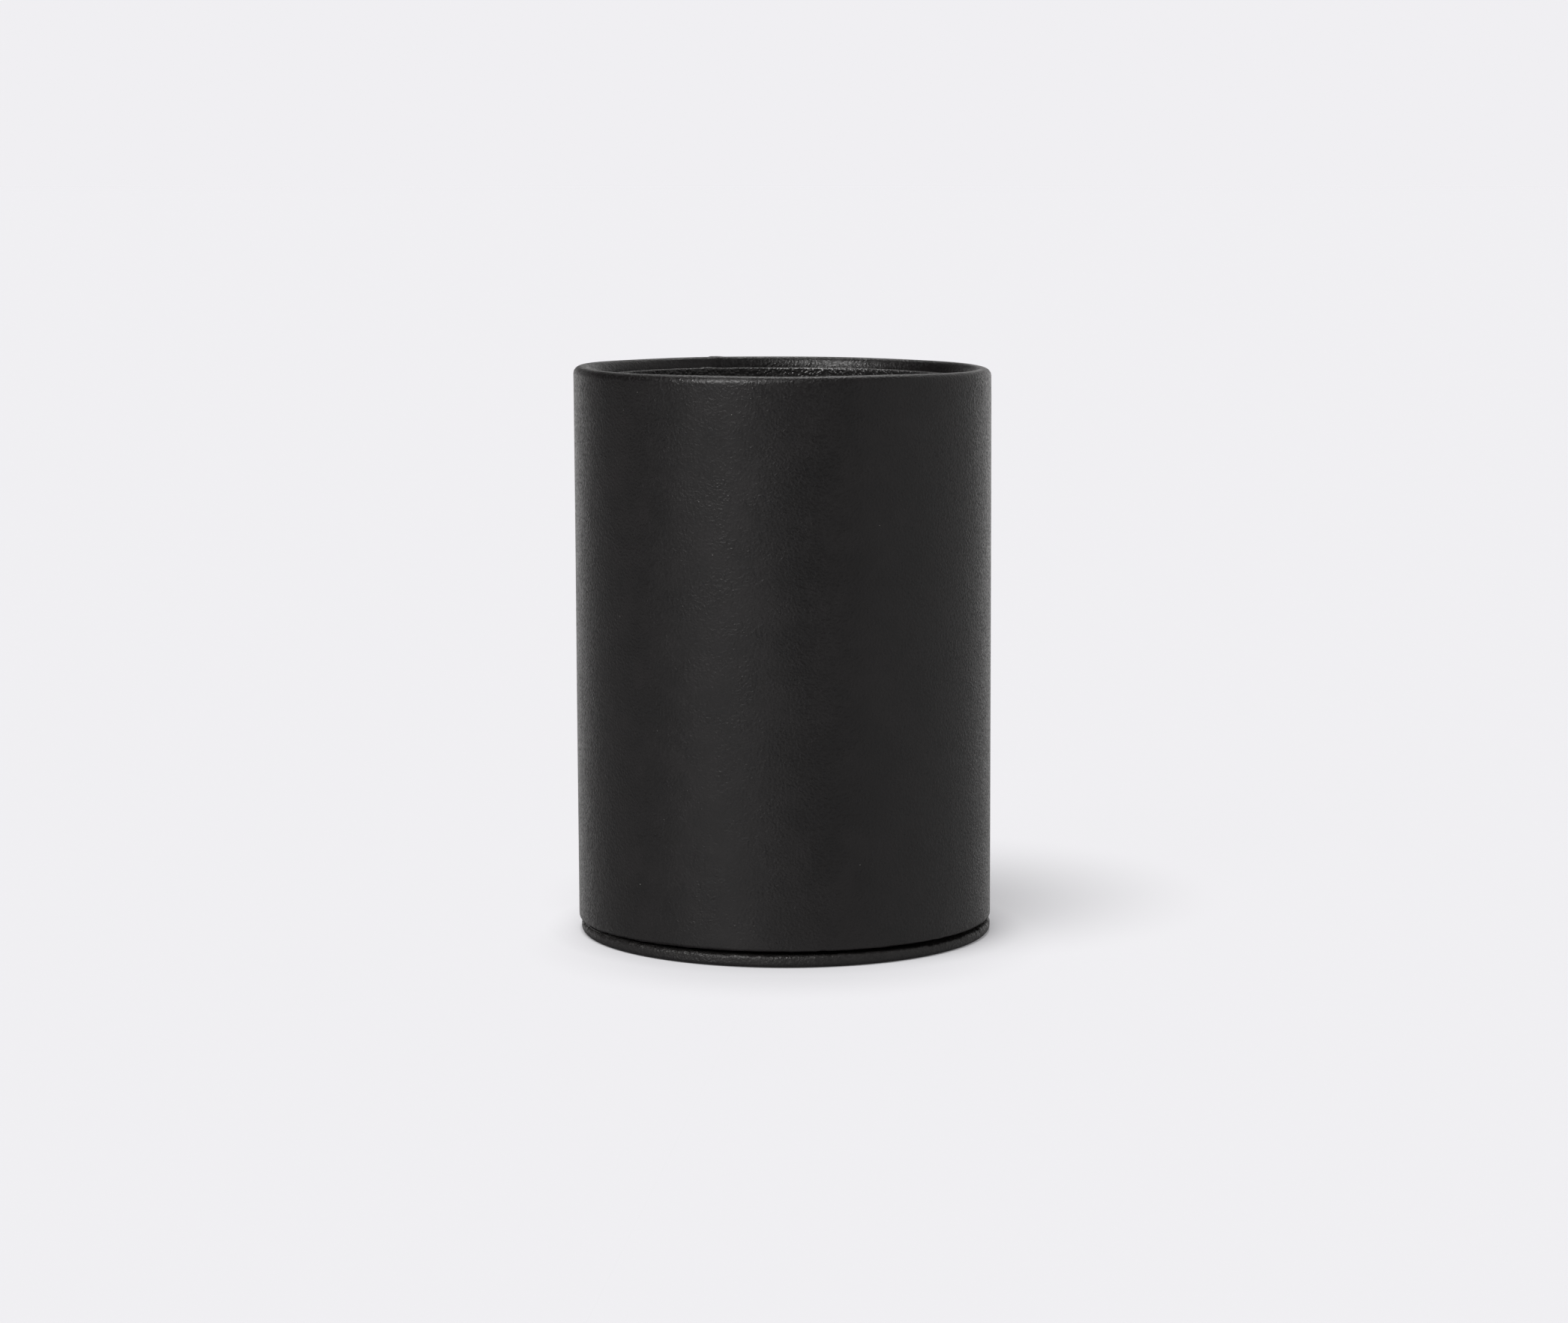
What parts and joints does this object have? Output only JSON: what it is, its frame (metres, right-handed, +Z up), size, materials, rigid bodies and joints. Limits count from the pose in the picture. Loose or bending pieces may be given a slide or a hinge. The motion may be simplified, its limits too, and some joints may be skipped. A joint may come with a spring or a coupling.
{
  "type": "dice cup",
  "caption": "Straight-sided black leather dice cup with a rolled rim, a leather lining set just below the rim and a glued base disc.",
  "frame": {"origin": "centre of the underside, on the surface the cup stands on", "axes": "+Z up along the cup's axis to the open mouth, +X to the right and -Y to the front; the lapped seam is at the back, towards +Y and a little to -X"},
  "size_m": [0.08, 0.08, 0.109],
  "materials": {
    "cover_leather": "black smooth-grain leather, satin, fine pebble about 0.6 mm across",
    "lining_leather": "black pebbled leather, coarser and glossier than the cover",
    "greyboard": "grey recycled board, matt",
    "lining_card": "buff card, matt"
  },
  "bodies": {
    "root": {"base_wrap": "cover_leather", "base_board": "greyboard", "outer_wrap": "cover_leather", "wall_tube": "greyboard", "bottom_board": "greyboard", "liner_card": "lining_card", "liner_leather": "lining_leather", "floor_card": "lining_card", "floor_leather": "lining_leather"}
  },
  "joints": []
}
